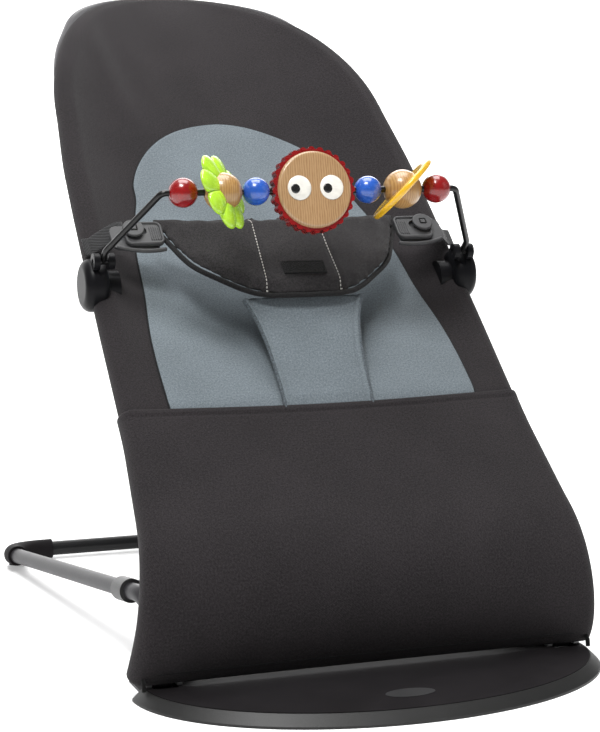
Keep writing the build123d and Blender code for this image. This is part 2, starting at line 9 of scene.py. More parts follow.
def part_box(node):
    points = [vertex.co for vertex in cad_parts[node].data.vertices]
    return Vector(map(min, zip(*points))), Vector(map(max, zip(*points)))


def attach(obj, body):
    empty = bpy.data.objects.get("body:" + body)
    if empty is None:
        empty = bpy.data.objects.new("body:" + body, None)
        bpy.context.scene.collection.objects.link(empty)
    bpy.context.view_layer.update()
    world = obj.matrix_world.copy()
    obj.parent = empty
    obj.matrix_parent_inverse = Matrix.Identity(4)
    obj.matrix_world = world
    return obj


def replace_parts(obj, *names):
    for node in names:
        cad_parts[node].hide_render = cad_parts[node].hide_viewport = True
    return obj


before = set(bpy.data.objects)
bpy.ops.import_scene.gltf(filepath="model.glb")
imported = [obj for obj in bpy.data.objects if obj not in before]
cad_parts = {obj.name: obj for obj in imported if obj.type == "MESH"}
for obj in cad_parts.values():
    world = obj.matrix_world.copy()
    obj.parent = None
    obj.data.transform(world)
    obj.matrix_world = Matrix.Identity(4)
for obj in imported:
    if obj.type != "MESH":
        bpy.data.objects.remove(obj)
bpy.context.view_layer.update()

# The seat's side line, in millimetres: a front curve, a straight at 42 degrees, then a slow curve up.
SLOPE = math.radians(42)
CURVE_CENTRE = np.array([133.0, 62.0])
CURVE_RADIUS = 81.0
SHOULDER = 480.0
HEAD_RADIUS = 444.0
HEAD_HALF_WIDTH = 150.0
HEAD_REACH = 228.0
ROLL = 9.3
SEAT_FACING = (0, -0.669, 0.743)


def side_line(v):
    """Centre line of the frame in the side plane: point and outward normal at distance v along it.
    Below 0 it is an arc of radius 81 about the curve's centre, up to 480 a straight line, and above
    that an arc of radius 444 that turns back towards level."""
    v = np.asarray(v, float)
    low = math.pi / 2 - SLOPE + np.minimum(v, 0) / CURVE_RADIUS
    turned = SLOPE - np.maximum(v - SHOULDER, 0) / HEAD_RADIUS
    normal_angle = np.where(v < 0, math.pi - low, math.pi / 2 + turned)
    ny, nz = np.cos(normal_angle), np.sin(normal_angle)
    run = np.clip(v, 0, SHOULDER)
    start_y = CURVE_CENTRE[0] - CURVE_RADIUS * math.sin(SLOPE)
    start_z = CURVE_CENTRE[1] + CURVE_RADIUS * math.cos(SLOPE)
    y = start_y + run * math.cos(SLOPE)
    z = start_z + run * math.sin(SLOPE)
    y = np.where(v < 0, CURVE_CENTRE[0] + CURVE_RADIUS * ny, y)
    z = np.where(v < 0, CURVE_CENTRE[1] + CURVE_RADIUS * nz, z)
    above = v > SHOULDER
    y = np.where(above, y + HEAD_RADIUS * (ny + math.sin(SLOPE)), y)
    z = np.where(above, z + HEAD_RADIUS * (nz - math.cos(SLOPE)), z)
    return y, z, ny, nz


def lift(x, v, n):
    """The place in metres of a point x across, v along the side line and n out from it."""
    y, z, ny, nz = side_line(v)
    x, y, z = np.broadcast_arrays(x, y + n * ny, z + n * nz)
    return np.stack([x, y, z], -1) / 1000


def eased(v, stations, values, width):
    """Values at stations, joined by straight runs and then rounded off by averaging over a width."""
    v = np.asarray(v, float)
    offsets = np.linspace(-width / 2, width / 2, 9)
    return sum(np.interp(v + o, stations, values) for o in offsets) / 9


def roll_x(v):
    """Half-width to the centre of the edge roll, below the shoulder."""
    stations = [-108, -84, -63, 7, 48, 88, 121, 203, 344, 405, 432, 457, 480, 520]
    widths = [196, 193, 190, 181, 178, 175, 174.5, 173, 169, 166.5, 164, 161.5, 159.3, 159.3]
    return eased(v, stations, np.array(widths) - ROLL, 24)


def hollow(v):
    """How far the middle of the cloth lies below the edge roll: it bows out at the hem and dips behind."""
    stations = [-108, -60, 0, 60, 112, 130, 150, 170, 190, 210, 230, 250, 300, 360, 430, 700]
    depth = [1, 0, -2, -3, -3, -1, 2, 6, 10, 14, 18, 21, 26, 29, 31, 31]
    return eased(v, stations, depth, 20)


def share(x, v):
    """0 on the middle line to 1 on the roll. Above the shoulder it solves for r:
    (x/rA)^2 + (t/rT)^1.5 = 1."""
    t = np.maximum(v - SHOULDER, 0)
    plain = np.abs(x) / roll_x(v)
    r = np.sqrt((x / HEAD_HALF_WIDTH) ** 2 + (t / HEAD_REACH) ** 2) + 0.001
    for _ in range(14):
        reach = (x / (r * HEAD_HALF_WIDTH)) ** 2 + (t / (r * HEAD_REACH)) ** 1.5
        r = np.maximum(r * reach ** 0.6, 0.0001)
    r = np.where(t > 0, r, plain)
    rise = np.where(t > 0, np.clip((t / (np.maximum(r, 1e-6) * HEAD_REACH)) ** 1.5, 0, 1), 0)
    return np.clip(r, 0, 1), 4 - 2 * rise


def cloth_height(x, v):
    """Height of the cloth over the side line: the roll's height less the hollow times one minus r to the
    fourth, with slow folds made of a few long sine waves."""
    r, power = share(x, v)
    n = ROLL - hollow(v) * (1 - np.minimum(1, r * 1.05) ** power)
    fade = np.clip((v - 120) / 60, 0, 1) * (1 - r ** 6)
    folds = 1.9 * np.sin(x / 31 + v / 160 + 0.6) * np.sin(v / 71 + 1.1)
    folds = folds + 1.1 * np.sin(x / 17 - v / 95 + 2.0) * np.sin(v / 47)
    crease = 2.6 * np.exp(-((x + 96 + 0.10 * (v - 560)) / 11) ** 2)
    crease = crease - 2.2 * np.exp(-((x + 74 + 0.14 * (v - 560)) / 13) ** 2)
    head = np.clip((v - 470) / 60, 0, 1) * np.clip((695 - v) / 60, 0, 1)
    return n + fade * folds + head * crease * (1 - r ** 4)


# ------------------------------------------------------------------ mesh helpers

def grid_faces(rows, columns, round_rows=False):
    """Quads of a grid of points, row after row; round_rows joins each row's end to its start."""
    last = columns if round_rows else columns - 1
    i, j = np.meshgrid(np.arange(rows - 1), np.arange(last), indexing="ij")
    k = (j + 1) % columns
    quads = np.stack([i * columns + j, i * columns + k, (i + 1) * columns + k, (i + 1) * columns + j], -1)
    return quads.reshape(-1, 4)


def slab_faces(rows, columns):
    """Faces of a closed slab: a front grid, an equal back grid turned over, and a wall round the rim."""
    front = grid_faces(rows, columns)
    far = rows * columns
    across, down = np.arange(columns), columns * np.arange(1, rows) + columns - 1
    rim = np.concatenate([across, down, (rows - 1) * columns + across[-2::-1],
                          columns * np.arange(rows - 2, 0, -1)])
    following = np.roll(rim, -1)
    wall = np.stack([rim, following, following + far, rim + far], -1)
    return np.concatenate([front, front[:, ::-1] + far, wall])


def make_piece(name, points, faces, uv=None, smooth=True):
    """A mesh object from arrays of points and faces, with an optional UV pair for each point."""
    mesh = bpy.data.meshes.new(name)
    mesh.from_pydata(points.reshape(-1, 3).tolist(), [], faces.tolist())
    if uv is not None:
        layer = mesh.uv_layers.new(name="cloth")
        corner = np.empty(len(mesh.loops), np.int32)
        mesh.loops.foreach_get("vertex_index", corner)
        layer.data.foreach_set("uv", uv.reshape(-1, 2)[corner].astype(np.float32).ravel())
    mesh.polygons.foreach_set("use_smooth", np.full(len(mesh.polygons), smooth))
    mesh.update()
    piece = bpy.data.objects.new(name, mesh)
    bpy.context.scene.collection.objects.link(piece)
    return piece


def close_up(piece, distance=0.00002):
    """Merges doubled points and turns every face outwards."""
    work = bmesh.new()
    work.from_mesh(piece.data)
    bmesh.ops.remove_doubles(work, verts=work.verts, dist=distance)
    bmesh.ops.dissolve_degenerate(work, dist=distance / 4, edges=work.edges)
    bmesh.ops.recalc_face_normals(work, faces=work.faces)
    work.to_mesh(piece.data)
    work.free()
    return piece


def face_out(piece, direction):
    """Flips an open sheet if most of it faces away from the direction."""
    normals = np.empty(len(piece.data.polygons) * 3)
    piece.data.polygons.foreach_get("normal", normals)
    areas = np.empty(len(piece.data.polygons))
    piece.data.polygons.foreach_get("area", areas)
    if (normals.reshape(-1, 3) @ np.array(direction) * areas).sum() < 0:
        piece.data.flip_normals()
    return piece


def surface_size(piece):
    areas = np.empty(len(piece.data.polygons))
    piece.data.polygons.foreach_get("area", areas)
    return float(areas.sum())


def thicken(piece, thickness, offset=-1.0):
    wall = piece.modifiers.new("wall", "SOLIDIFY")
    wall.thickness = thickness
    wall.offset = offset
    return piece


def directions(path, closed=False):
    """Unit tangents along a path of points."""
    if closed:
        step = np.roll(path, -1, 0) - np.roll(path, 1, 0)
    else:
        step = np.gradient(path, axis=0)
    return step / np.linalg.norm(step, axis=1, keepdims=True)


def along_path(path, radii, sides=10, closed=False, flat=1.0, up=SEAT_FACING):
    """A round or flattened profile carried along a path: each ring is the point plus radius times
    (cos a across + flat sin a up). Returns points and faces, with the ends drawn to a point."""
    tangent = directions(path, closed)
    side = np.cross(tangent, np.array(up, float))
    side /= np.linalg.norm(side, axis=1, keepdims=True)
    top = np.cross(side, tangent)
    angle = np.arange(sides) * 2 * math.pi / sides
    radii = np.broadcast_to(radii, len(path))[:, None, None]
    ring = side[:, None] * np.cos(angle)[None, :, None] + flat * top[:, None] * np.sin(angle)[None, :, None]
    points = path[:, None] + radii * ring
    if closed:
        points = np.concatenate([points, points[:1]])
    else:
        start = np.broadcast_to(path[0], (1, sides, 3))
        end = np.broadcast_to(path[-1], (1, sides, 3))
        points = np.concatenate([start, points, end])
    return points, grid_faces(len(points), sides, round_rows=True)


def cord_piece(name, path, radius, sides=10, closed=False, flat=1.0, up=SEAT_FACING):
    points, faces = along_path(path, radius, sides, closed, flat, up)
    return close_up(make_piece(name, points, faces), 0.000001)


def stitches(name, path, pitch, length, radius):
    """Separate thread stitches along a path: each is an ellipsoid of rings, long in its direction."""
    steps = np.linalg.norm(np.diff(path, axis=0), axis=1)
    reach = np.concatenate([[0], np.cumsum(steps)])
    places = np.arange(pitch / 2, reach[-1], pitch)
    centre = np.stack([np.interp(places, reach, path[:, k]) for k in range(3)], -1)
    ahead = np.stack([np.interp(places + pitch / 4, reach, path[:, k]) for k in range(3)], -1)
    tangent = ahead - centre
    tangent /= np.linalg.norm(tangent, axis=1, keepdims=True) + 1e-12
    side = np.cross(tangent, [0, -0.669, 0.743])
    side /= np.linalg.norm(side, axis=1, keepdims=True)
    top = np.cross(side, tangent)
    rings, sides = 5, 6
    a = np.linspace(-math.pi / 2, math.pi / 2, rings)
    b = np.arange(sides) * 2 * math.pi / sides
    long = (np.sin(a) * length / 2)[None, :, None, None] * tangent[:, None, None]
    wide = np.cos(a)[None, :, None, None] * radius
    round_about = side[:, None, None] * np.cos(b)[None, None, :, None] \
        + top[:, None, None] * np.sin(b)[None, None, :, None]
    points = centre[:, None, None] + long + wide * round_about
    one = grid_faces(rings, sides, round_rows=True)
    faces = (one[None] + (np.arange(len(places)) * rings * sides)[:, None, None]).reshape(-1, 4)
    return close_up(make_piece(name, points, faces), 0.000001)


# ---------------------------------------------------------------------- finishes

class Finish:
    """A node material with short names for the nodes it needs."""

    def __init__(self, name, roughness, metallic=0.0, coat=0.0, coat_roughness=0.1, sheen=0.0,
                 specular=0.5):
        self.material = bpy.data.materials.new(name)
        self.material.use_nodes = True
        self.nodes = self.material.node_tree.nodes
        self.links = self.material.node_tree.links
        self.shader = self.nodes["Principled BSDF"]
        self.shader.inputs["Roughness"].default_value = roughness
        self.shader.inputs["Metallic"].default_value = metallic
        self.shader.inputs["Coat Weight"].default_value = coat
        self.shader.inputs["Coat Roughness"].default_value = coat_roughness
        self.shader.inputs["Sheen Weight"].default_value = sheen
        self.shader.inputs["Sheen Roughness"].default_value = 0.5
        self.shader.inputs["Specular IOR Level"].default_value = specular

    def add(self, kind, **values):
        node = self.nodes.new(kind)
        for key, value in values.items():
            if hasattr(node, key) and not key[0].isupper():
                setattr(node, key, value)
            else:
                node.inputs[key].default_value = value
        return node

    def join(self, source, target, socket):
        self.links.new(source, target.inputs[socket])

    def place(self, from_uv=False, scale=(1, 1, 1), turn=(0, 0, 0)):
        where = self.add("ShaderNodeTexCoord")
        fit = self.add("ShaderNodeMapping")
        fit.inputs["Scale"].default_value = scale
        fit.inputs["Rotation"].default_value = turn
        self.join(where.outputs["UV" if from_uv else "Object"], fit, "Vector")
        return fit.outputs["Vector"]

    def noise(self, where, scale, detail=3.0, rough=0.55):
        node = self.add("ShaderNodeTexNoise", Scale=scale, Detail=detail, Roughness=rough)
        self.join(where, node, "Vector")
        return node.outputs["Fac"]

    def sums(self, operation, a, b):
        node = self.add("ShaderNodeMath", operation=operation)
        for k, value in enumerate((a, b)):
            if isinstance(value, (int, float)):
                node.inputs[k].default_value = value
            else:
                self.links.new(value, node.inputs[k])
        return node.outputs[0]

    def ramp(self, factor, stops):
        node = self.add("ShaderNodeValToRGB")
        band = node.color_ramp
        while len(band.elements) < len(stops):
            band.elements.new(0.5)
        for element, (position, colour) in zip(band.elements, stops):
            element.position = position
            element.color = (*colour, 1)
        self.join(factor, node, "Fac")
        return node.outputs["Color"]

    def spread(self, factor, low, high):
        node = self.add("ShaderNodeMapRange")
        node.inputs["To Min"].default_value = low
        node.inputs["To Max"].default_value = high
        self.join(factor, node, "Value")
        return node.outputs["Result"]

    def relief(self, height, distance, strength=1.0):
        node = self.add("ShaderNodeBump", Distance=distance, Strength=strength)
        self.join(height, node, "Height")
        self.join(node.outputs["Normal"], self.shader, "Normal")

    def colour(self, value):
        self.join(value, self.shader, "Base Color")

    def gloss(self, value):
        self.join(value, self.shader, "Roughness")


def shade(colour, factor):
    return tuple(min(1.0, c * factor) for c in colour)


def woven(name, colour, pitch, depth=0.0003, sheen=0.07, from_uv=True, contrast=0.5):
    """Plain weave: the product of two sines across and along, over fibre noise and slow colour change."""
    f = Finish(name, 0.9, sheen=sheen, specular=0.12)
    where = f.place(from_uv)
    parts = f.add("ShaderNodeSeparateXYZ")
    f.join(where, parts, "Vector")
    turns = 2 * math.pi / pitch
    across = f.sums("SINE", f.sums("MULTIPLY", parts.outputs["X"], turns), 0.0)
    along_axis = parts.outputs["Y"] if from_uv else f.sums("ADD", parts.outputs["Y"], parts.outputs["Z"])
    along = f.sums("SINE", f.sums("MULTIPLY", along_axis, turns), 0.0)
    weave = f.sums("MULTIPLY", across, along)
    fibre = f.noise(where, 1400, 2.0, 0.7)
    heather = f.noise(where, 620, 3.0, 0.85)
    slow = f.noise(where, 16, 3.0)
    height = f.sums("ADD", f.sums("MULTIPLY", weave, 0.5), f.sums("MULTIPLY", fibre, 1.2))
    height = f.sums("ADD", height, f.sums("MULTIPLY", heather, 0.8))
    f.relief(height, depth, 0.8)
    tone = f.sums("ADD", f.sums("MULTIPLY", fibre, 0.15), f.sums("MULTIPLY", heather, 0.65))
    tone = f.sums("ADD", tone, f.sums("MULTIPLY", slow, 0.15))
    tone = f.sums("ADD", tone, f.sums("MULTIPLY", weave, 0.08))
    f.colour(f.ramp(tone, [(0.38, shade(colour, 1 - contrast)), (0.60, shade(colour, 1 + contrast))]))
    f.gloss(f.spread(slow, 0.84, 0.97))
    return f.material


def webbing_finish(name, colour):
    """Narrow webbing: diagonal ribs across the strap with fibre noise."""
    f = Finish(name, 0.78, sheen=0.2, specular=0.3)
    where = f.place(True)
    parts = f.add("ShaderNodeSeparateXYZ")
    f.join(where, parts, "Vector")
    slant = f.sums("ADD", parts.outputs["X"], parts.outputs["Y"])
    ribs = f.sums("SINE", f.sums("MULTIPLY", slant, 3400.0), 0.0)
    fibre = f.noise(where, 1500, 2.0)
    f.relief(f.sums("ADD", ribs, fibre), 0.0003, 0.8)
    f.colour(f.ramp(fibre, [(0.3, shade(colour, 0.7)), (0.7, shade(colour, 1.5))]))
    return f.material


def moulded(name, colour, roughness, grain=900, depth=0.00008, scuff=0.25, coat=0.0, scale=1.0,
            specular=0.45):
    """Moulded plastic or rubber: fine spark grain, slow tone changes and faint rubbed patches."""
    f = Finish(name, roughness, coat=coat, coat_roughness=0.15, specular=specular)
    where = f.place()
    fine = f.noise(where, grain, 2.0, 0.6)
    slow = f.noise(where, 11 * scale, 4.0, 0.6)
    rubbed = f.noise(where, 60 * scale, 6.0, 0.7)
    f.relief(fine, depth, 0.7)
    tone = f.sums("ADD", f.sums("MULTIPLY", slow, 0.6), f.sums("MULTIPLY", rubbed, 0.4))
    dark, light = shade(colour, 1 - scuff), shade(colour, 1 + scuff)
    f.colour(f.ramp(tone, [(0.35, dark), (0.55, colour), (0.75, light)]))
    f.gloss(f.spread(tone, roughness - 0.07, roughness + 0.1))
    return f.material


def painted_tube(name, colour, roughness, metallic=0.4, coat=0.3):
    """Powder-coated or enamelled tube: orange-peel bump and small rub marks."""
    f = Finish(name, roughness, metallic=metallic, coat=coat, coat_roughness=0.12, specular=0.16)
    where = f.place()
    peel = f.noise(where, 420, 2.0, 0.5)
    rub = f.noise(where, 45, 3.0, 0.55)
    f.relief(peel, 0.00009, 0.5)
    f.colour(f.ramp(rub, [(0.3, shade(colour, 0.93)), (0.62, colour), (0.8, shade(colour, 1.1))]))
    f.gloss(f.spread(rub, roughness - 0.02, roughness + 0.05))
    return f.material


def brushed(name, colour, roughness):
    """Bare steel with fine lines along X."""
    f = Finish(name, roughness, metallic=1.0)
    where = f.place(scale=(0.05, 1, 1))
    lines = f.noise(where, 1500, 3.0, 0.7)
    f.relief(lines, 0.00004, 0.5)
    f.colour(f.ramp(lines, [(0.3, shade(colour, 0.8)), (0.7, shade(colour, 1.15))]))
    f.gloss(f.spread(lines, roughness - 0.06, roughness + 0.12))
    return f.material


def lacquer(name, colour, roughness=0.16):
    """Painted and lacquered wood: the grain just telegraphs through a hard clear coat."""
    f = Finish(name, roughness + 0.12, coat=0.6, coat_roughness=0.06)
    grain = f.noise(f.place(scale=(0.2, 1, 1)), 330, 4.0, 0.6)
    speck = f.noise(f.place(), 90, 3.0)
    f.relief(grain, 0.00005, 0.35)
    f.colour(f.ramp(speck, [(0.3, shade(colour, 0.86)), (0.7, shade(colour, 1.1))]))
    f.gloss(f.spread(grain, roughness, roughness + 0.2))
    return f.material


def turned_wood(name, pale, dark):
    """Beech: stretched rings bent by noise, short dark flecks, under a satin clear coat."""
    f = Finish(name, 0.34, coat=0.5, coat_roughness=0.14)
    where = f.place(scale=(1, 1, 0.18))
    bend = f.noise(where, 38, 3.0)
    rings = f.add("ShaderNodeTexWave", wave_type="BANDS", bands_direction="X", Scale=150.0, Distortion=4.0)
    rings.inputs["Detail"].default_value = 3.0
    rings.inputs["Detail Scale"].default_value = 1.6
    f.join(where, rings, "Vector")
    fleck = f.noise(f.place(scale=(1, 1, 0.12)), 700, 2.0, 0.6)
    tone = f.sums("ADD", f.sums("MULTIPLY", rings.outputs["Fac"], 0.32), f.sums("MULTIPLY", bend, 0.3))
    tone = f.sums("ADD", tone, f.sums("MULTIPLY", fleck, 0.38))
    f.relief(fleck, 0.00006, 0.4)
    f.colour(f.ramp(tone, [(0.3, dark), (0.62, pale)]))
    f.gloss(f.spread(fleck, 0.28, 0.46))
    return f.material


CHARCOAL = (0.0235, 0.0205, 0.022)
GREY_BLUE = (0.160, 0.188, 0.207)

cover_cloth = woven("charcoal_weave", CHARCOAL, 0.0012)
insert_cloth = woven("grey_weave", GREY_BLUE, 0.0011, contrast=0.34)
bib_cloth = woven("charcoal_pad_weave", (0.030, 0.028, 0.029), 0.0011, from_uv=False)
piping_cloth = woven("charcoal_piping", (0.017, 0.0165, 0.017), 0.0009, from_uv=False)
strap_edge_cloth = woven("grey_piping", (0.10, 0.118, 0.132), 0.0009, from_uv=False)
seam_thread = woven("seam_thread", (0.012, 0.012, 0.013), 0.0006, from_uv=False)
white_thread = woven("white_thread", (0.62, 0.60, 0.57), 0.0006, from_uv=False)
black_webbing = webbing_finish("black_webbing", (0.010, 0.010, 0.011))
label_cloth = woven("blank_tag_weave", (0.006, 0.006, 0.006), 0.0005, from_uv=False)
plate_plastic = moulded("plate_plastic", (0.0125, 0.0112, 0.0122), 0.6, grain=1100, scuff=0.3,
                        specular=0.05)
rim_rubber = moulded("rim_rubber", (0.012, 0.012, 0.0118), 0.45, grain=700, depth=0.0001, specular=0.35)
badge_plastic = moulded("badge_plastic", (0.035, 0.035, 0.036), 0.3, grain=800)
clip_plastic = moulded("gloss_black_clip", (0.006, 0.006, 0.007), 0.34, grain=240, depth=0.00004, coat=0.0,
                       specular=0.1)
buckle_plastic = moulded("grey_buckle", (0.048, 0.048, 0.050), 0.46, grain=1000, depth=0.0001, specular=0.3)
bush_plastic = moulded("bush_plastic", (0.03, 0.03, 0.03), 0.4)
black_coat = painted_tube("matt_black_coat", (0.012, 0.012, 0.0125), 0.42, metallic=0.1, coat=0.1)
rod_coat = painted_tube("rod_black_coat", (0.008, 0.008, 0.008), 0.3, metallic=0.2, coat=0.4)
gunmetal = painted_tube("gunmetal_coat", (0.026, 0.025, 0.028), 0.38, metallic=0.0, coat=0.03)
bare_steel = brushed("bare_steel", (0.42, 0.42, 0.43), 0.32)
red_lacquer = lacquer("red_lacquer", (0.235, 0.002, 0.003))
blue_lacquer = lacquer("blue_lacquer", (0.018, 0.095, 0.46))
lime_lacquer = lacquer("lime_lacquer", (0.42, 0.72, 0.03))
yellow_lacquer = lacquer("yellow_lacquer", (0.74, 0.42, 0.015))
white_lacquer = lacquer("white_lacquer", (0.80, 0.78, 0.72))
black_lacquer = lacquer("black_lacquer", (0.006, 0.006, 0.006))
pale_wood = turned_wood("pale_beech", (0.43, 0.265, 0.130), (0.30, 0.168, 0.072))
amber_wood = turned_wood("amber_beech", (0.42, 0.240, 0.080), (0.29, 0.150, 0.040))

NODE_FINISH = {
    "base_plate": plate_plastic, "plate_rim": rim_rubber, "plate_sole": rim_rubber,
    "plate_badge": badge_plastic, "rear_crossbar": black_coat, "foot_pads": rim_rubber,
    "hinge_pins": bare_steel, "hinge_bushes": bush_plastic, "socket_screws": bare_steel,
    "corner_loops": label_cloth, "head_hoop": gunmetal, "tube_spigots": bare_steel,
    "bow_bushes": bush_plastic, "bow_bar": black_coat, "toy_bar_rod": rod_coat,
    "red_bead_left": red_lacquer, "red_bead_right": red_lacquer, "flower_ball": amber_wood,
    "blue_bead_left": blue_lacquer, "blue_bead_right": blue_lacquer, "face_disc": pale_wood,
    "face_rim": red_lacquer, "disc_ball": amber_wood, "yellow_disc": yellow_lacquer,
    "face_eyes": white_lacquer, "face_pupils": black_lacquer, "flower_petals": lime_lacquer,
    "blank_label": label_cloth,
}
PAIR_FINISH = {
    "rail_socket": plate_plastic, "side_rail": gunmetal, "corner_foot": plate_plastic,
    "hinge_bracket": bare_steel, "seat_tube": gunmetal, "notch_plate": bare_steel,
    "bow_clip": bush_plastic, "bow_arm": black_coat, "buckle_base": buckle_plastic,
    "buckle_tab": buckle_plastic, "web_strap": label_cloth, "toy_clip": clip_plastic,
}
for stem, finish in PAIR_FINISH.items():
    NODE_FINISH[stem + "_left"] = NODE_FINISH[stem + "_right"] = finish


def dress(piece, finish):
    piece.data.materials.clear()
    piece.data.materials.append(finish)
    return piece


for node_name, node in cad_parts.items():
    dress(node, NODE_FINISH.get(node_name, cover_cloth))


# ------------------------------------------------------------------- fabric cover

def cover_rows(v_rows, fan_steps):
    """Rows of the cover: the foot on the middle line, the centre of the edge roll and the way out of it,
    for each straight row and then for each step of the fan round the head."""
    rx = roll_x(v_rows)
    slope = np.gradient(rx, v_rows)
    out = np.stack([np.ones_like(rx), -slope], -1)
    foot = np.stack([np.zeros_like(rx), v_rows], -1)
    edge = np.stack([rx, v_rows], -1)
    if fan_steps:
        psi = np.linspace(0, math.pi / 2, fan_steps + 1)[1:]
        hx, ht = HEAD_HALF_WIDTH * np.cos(psi), HEAD_REACH * np.sin(psi) ** (4 / 3)
        way = np.stack([2 * hx / HEAD_HALF_WIDTH ** 2, 1.5 * ht ** 0.5 / HEAD_REACH ** 1.5], -1)
        foot = np.concatenate([foot, np.stack([0 * hx, SHOULDER + 0 * hx], -1)])
        edge = np.concatenate([edge, np.stack([hx, SHOULDER + ht], -1)])
        out = np.concatenate([out, way])
    out = out / np.linalg.norm(out, axis=1, keepdims=True)
    return foot, edge, out


def half_cover(v_rows, fan_steps, extra, tuck, side):
    """One half of the cover as a grid. Across a row it runs from the middle line to the roll on the cloth's
    own height, half round the roll, then back in behind it by the tuck."""
    foot, edge, out = cover_rows(v_rows, fan_steps)
    r = np.sin(np.linspace(0, math.pi / 2, 34))
    inner = foot[:, None] + r[None, :, None] * (edge - foot)[:, None]
    inner_n = cloth_height(inner[..., 0] * side, inner[..., 1]) + extra
    angle = np.linspace(math.pi / 2, -math.pi / 2, 13)[1:]
    radius = ROLL + extra
    wrapped = edge[:, None] + out[:, None] * (radius * np.cos(angle))[None, :, None]
    wrapped_n = np.broadcast_to(radius * np.sin(angle), wrapped.shape[:2])
    back = np.linspace(0, tuck, 5)[1:]
    tucked = edge[:, None] - out[:, None] * back[None, :, None]
    tucked_n = np.broadcast_to(-radius + 2.0 * (back / tuck) ** 2, tucked.shape[:2])
    flat = np.concatenate([inner, wrapped, tucked], 1)
    n = np.concatenate([inner_n, wrapped_n, tucked_n], 1)
    points = lift(flat[..., 0] * side, flat[..., 1], n)
    steps = np.linalg.norm(np.diff(points, axis=1), axis=2)
    reach = np.concatenate([np.zeros((len(points), 1)), np.cumsum(steps, 1)], 1)
    cloth_uv = np.stack([flat[..., 0] * side / 1000, flat[..., 1] / 1000], -1)
    past = reach - reach[:, len(r) - 1:len(r)]
    turned = np.maximum(past, 0)[..., None] * out[:, None] * np.array([side, 1])
    edge_uv = np.stack([edge[:, 0] * side, edge[:, 1]], -1)[:, None] / 1000
    cloth_uv = np.where((past > 0)[..., None], edge_uv + turned, cloth_uv)
    return points, cloth_uv


def cover_piece(name, v_rows, fan_steps, extra, tuck):
    """Both halves of the cover joined along the middle line."""
    right, right_uv = half_cover(v_rows, fan_steps, extra, tuck, 1)
    left, left_uv = half_cover(v_rows, fan_steps, extra, tuck, -1)
    points = np.concatenate([left[:, :0:-1], right], 1)
    cloth_uv = np.concatenate([left_uv[:, :0:-1], right_uv], 1)
    piece = make_piece(name, points, grid_faces(*points.shape[:2]), cloth_uv)
    work = bmesh.new()
    work.from_mesh(piece.data)
    bmesh.ops.remove_doubles(work, verts=work.verts, dist=0.00002)
    bmesh.ops.dissolve_degenerate(work, dist=0.00001, edges=work.edges)
    bmesh.ops.recalc_face_normals(work, faces=work.faces)
    work.to_mesh(piece.data)
    work.free()
    return face_out(piece, SEAT_FACING)


def hem_line(x):
    """The front panel's top edge: lowest in the middle, a little higher at the sides."""
    return 109.5 + 7.5 * (x / 174) ** 2


seat_cover = cover_piece("seat_cover", np.linspace(100, SHOULDER, 66), 56, 0.0, 13)
dress(seat_cover, cover_cloth)
surface_size(seat_cover)
thicken(seat_cover, 0.0014)
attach(seat_cover, "seat")
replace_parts(seat_cover, "head_panel")


def front_cloth():
    """The panel over the front curve: rows run from the lower edge to the hem line, which bends across."""
    k = np.concatenate([np.linspace(0, 0.06, 6), np.linspace(0.06, 0.955, 54)[1:],
                        np.linspace(0.955, 1, 8)[1:]])
    columns = []
    for side in (-1, 1):
        r = np.linspace(0, 1, 24)
        low, high = -114.0, hem_line(r * roll_x(np.array(112.0)))
        v = low + k[:, None] * (high[None, :] - low)
        edge_x = roll_x(v)
        x = r[None, :] * edge_x
        n = cloth_height(x * side, v) + 1.9
        hem = np.clip(1 - (high[None, :] - v) / 5.5, 0, 1) > 0
        n = n + 0.9 * hem - 0.7 * np.exp(-((high[None, :] - v - 6.6) / 0.8) ** 2)
        angle = np.linspace(math.pi / 2, -math.pi / 2, 13)[1:]
        radius = ROLL + 1.9
        rim_v = v[:, -1:]
        wrap_x = edge_x[:, -1:] + radius * np.cos(angle)[None]
        wrap_n = np.broadcast_to(radius * np.sin(angle)[None], wrap_x.shape)
        wrap_n = wrap_n + 0.9 * hem[:, -1:] * np.sin(angle)[None]
        back = np.linspace(0, 14, 5)[1:]
        back_x = edge_x[:, -1:] - back[None]
        back_n = np.broadcast_to(-radius + 2.0 * (back / 14)[None] ** 2, back_x.shape)
        all_x = np.concatenate([x, wrap_x, back_x], 1)
        all_v = np.concatenate([v, np.broadcast_to(rim_v, wrap_x.shape),
                                np.broadcast_to(rim_v, back_x.shape)], 1)
        all_n = np.concatenate([n, wrap_n, back_n], 1)
        reach_x = np.concatenate([x, edge_x[:, -1:] + radius * (math.pi / 2 - angle)[None],
                                  edge_x[:, -1:] + radius * math.pi + back[None]], 1)
        columns.append((lift(all_x * side, all_v, all_n), np.stack([reach_x * side, all_v], -1) / 1000))
    points = np.concatenate([columns[0][0][:, :0:-1], columns[1][0]], 1)
    cloth_uv = np.concatenate([columns[0][1][:, :0:-1], columns[1][1]], 1)
    piece = make_piece("front_cloth", points, grid_faces(*points.shape[:2]), cloth_uv)
    return face_out(close_up(piece), (0, -0.8, 0.6))


front_panel = dress(front_cloth(), cover_cloth)
surface_size(front_panel)
thicken(front_panel, 0.0016)
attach(front_panel, "seat")
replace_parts(front_panel, "front_panel")


def over_cloth(name, x, v, clear, radius, finish, sides=8, flat=1.0, body="seat"):
    """A thin round seam laid on the cloth along a line of x and v."""
    path = lift(x, v, cloth_height(x, v) + clear)
    piece = dress(cord_piece(name, path, radius, sides, flat=flat), finish)
    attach(piece, body)
    return piece


edge_run = np.linspace(-178, 178, 120)
over_cloth("lower_seam", edge_run, np.full(120, -105.0), 2.0, 0.00055, seam_thread)


# ------------------------------------------------------------------- grey insert

INSERT_TOP = 483.0


